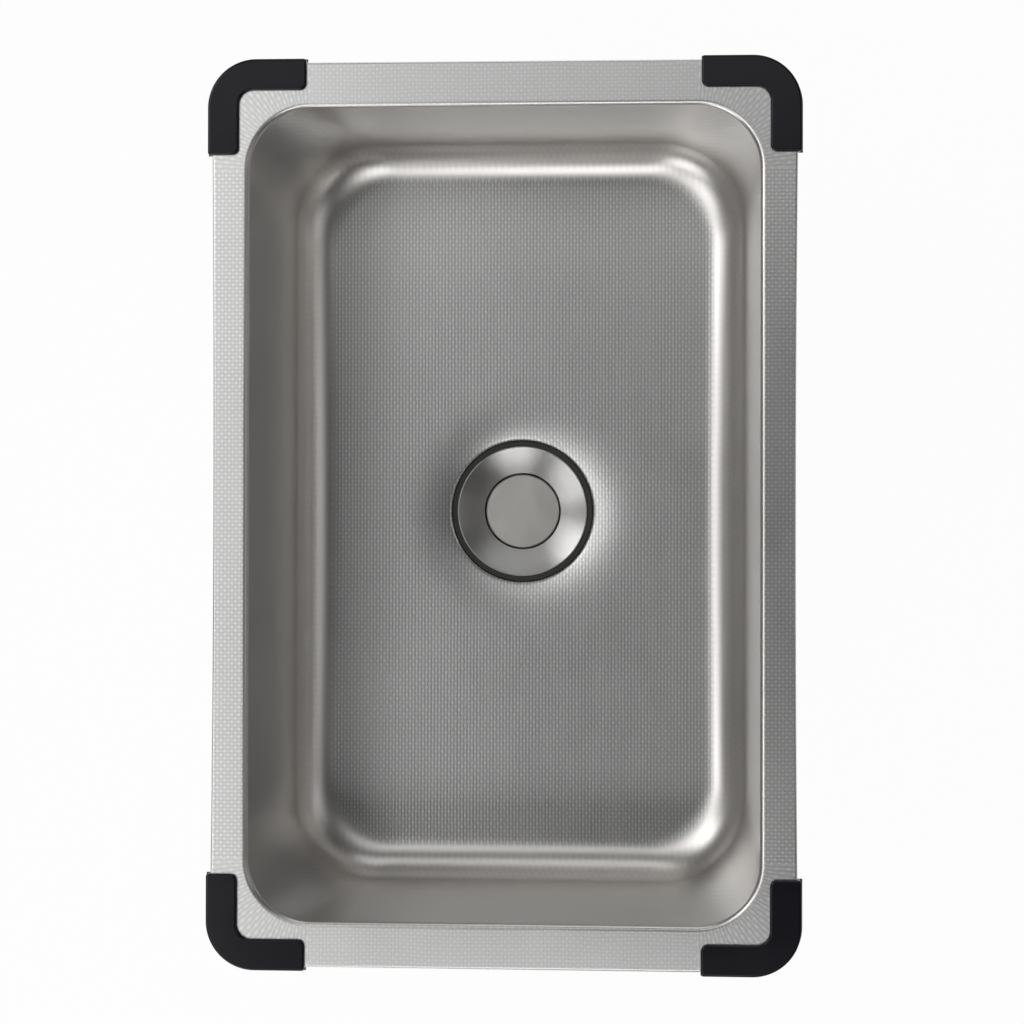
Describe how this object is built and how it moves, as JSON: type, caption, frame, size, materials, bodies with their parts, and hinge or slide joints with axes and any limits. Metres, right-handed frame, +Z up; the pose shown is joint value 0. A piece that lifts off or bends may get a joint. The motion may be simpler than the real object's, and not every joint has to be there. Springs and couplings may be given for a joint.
{
  "type": "kitchen sink",
  "caption": "Pressed stainless single-bowl kitchen sink with an embossed flange and bowl, black moulded corner guards and a push-button pop-up basket strainer waste.",
  "frame": {"origin": "centre of the worktop cut-out, on the plane where the flange's turned-down edge stands", "axes": "+Z up out of the bowl, +Y along the bowl's long side, +X to the right in the picture"},
  "size_m": [0.341, 0.523, 0.2382],
  "materials": {
    "bowl_steel": "embossed with fine upright pearls, satin",
    "cap_steel": "turned, fine concentric lines",
    "button_steel": "satin, bevelled edge",
    "basket_steel": "drawn, plain",
    "stem_steel": "turned, plain",
    "spring_steel": "bright drawn wire",
    "zinc_steel": "zinc plated",
    "latch_brass": "turned, plain",
    "guard_plastic": "black, smooth moulding",
    "seal_rubber": "dark grey, matt",
    "gasket_rubber": "black, matt",
    "body_plastic": "black, finely grained moulding",
    "carrier_plastic": "black, smooth moulding",
    "cam_plastic": "natural white"
  },
  "bodies": {
    "sink": {"sink_bowl": "bowl_steel", "guard_back_right": "guard_plastic", "guard_back_left": "guard_plastic", "guard_front_left": "guard_plastic", "guard_front_right": "guard_plastic", "weld_studs": "zinc_steel", "stud_washers": "zinc_steel", "stud_nuts": "zinc_steel", "body_gasket": "gasket_rubber", "waste_body": "body_plastic", "basket_seal": "gasket_rubber"},
    "strainer": {"strainer_basket": "basket_steel", "latch_sleeve": "latch_brass", "sleeve_nut": "latch_brass", "sleeve_plug": "latch_brass", "lift_spring": "spring_steel"},
    "cap": {"cap_dish": "cap_steel", "cap_seal": "seal_rubber", "cap_carrier": "carrier_plastic", "cap_stem": "stem_steel", "stem_clip": "spring_steel", "cam_ring": "cam_plastic", "button_spring": "spring_steel"},
    "button": {"plug_button": "button_steel", "button_spindle": "stem_steel"}
  },
  "joints": [
    {"name": "strainer_lift", "type": "slide", "parent": "sink", "child": "strainer", "axis": [0, 0, 1], "range_m": [0, 0.06]},
    {"name": "cap_pop", "type": "slide", "parent": "strainer", "child": "cap", "axis": [0, 0, 1], "range_m": [0, 0.009], "deforming": ["lift_spring"]},
    {"name": "button_press", "type": "slide", "parent": "cap", "child": "button", "axis": [0, 0, 1], "range_m": [-0.003, 0], "stiffness_N_per_m": 500, "springref_m": 0.003, "deforming": ["button_spring"]}
  ]
}
